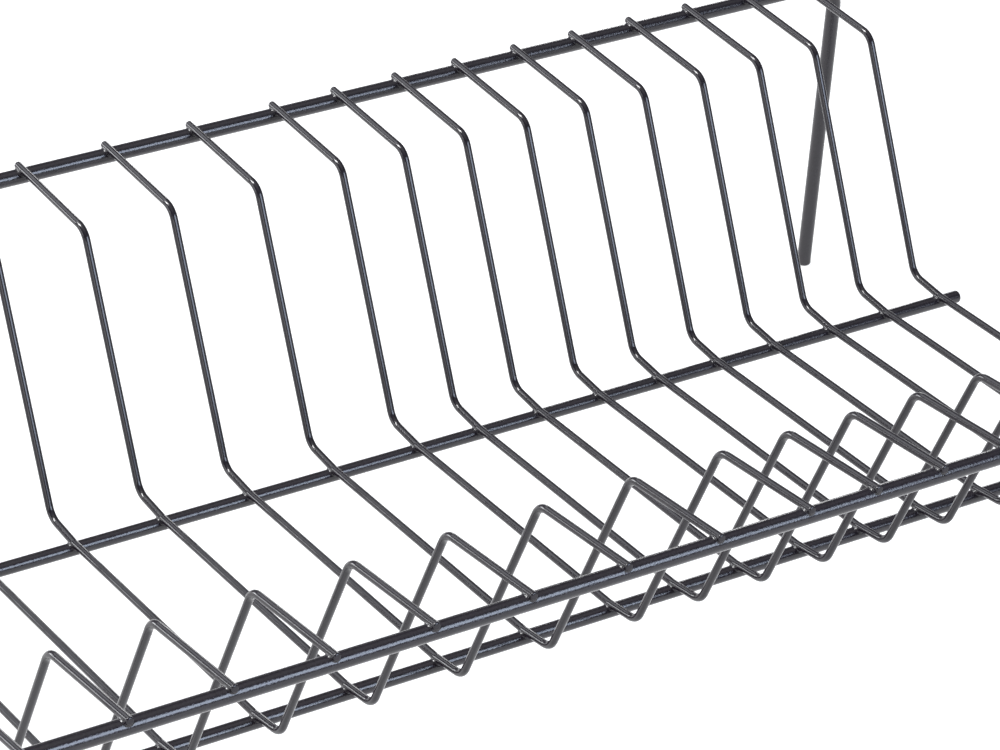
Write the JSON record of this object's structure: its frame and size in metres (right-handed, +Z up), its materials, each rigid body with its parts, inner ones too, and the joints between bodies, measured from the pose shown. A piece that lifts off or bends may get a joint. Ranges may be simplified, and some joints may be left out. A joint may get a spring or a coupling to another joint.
{
  "type": "dish drying rack",
  "caption": "Long wire dish rack: bent wires form an open trough with flanged walls, welded on base rods and on frame rods whose bent-down ends are the legs.",
  "frame": {"origin": "on the table, under the middle of the rack", "axes": "+X along the rack towards the narrow-pitch end, +Y to the rear, +Z up"},
  "size_m": [0.636, 0.3956, 0.1514],
  "materials": {
    "black_coating": "satin to glossy black powder coat on steel wire"
  },
  "bodies": {
    "root": {"rear_frame_rod": "black_coating", "front_frame_rod": "black_coating", "rear_base_rod": "black_coating", "front_base_rod": "black_coating", "wire_01": "black_coating", "wire_02": "black_coating", "wire_03": "black_coating", "wire_04": "black_coating", "wire_05": "black_coating", "wire_06": "black_coating", "wire_07": "black_coating", "wire_08": "black_coating", "wire_09": "black_coating", "wire_10": "black_coating", "wire_11": "black_coating", "wire_12": "black_coating", "wire_13": "black_coating", "wire_14": "black_coating", "wire_15": "black_coating", "wire_16": "black_coating", "wire_17": "black_coating", "wire_18": "black_coating"}
  },
  "joints": []
}
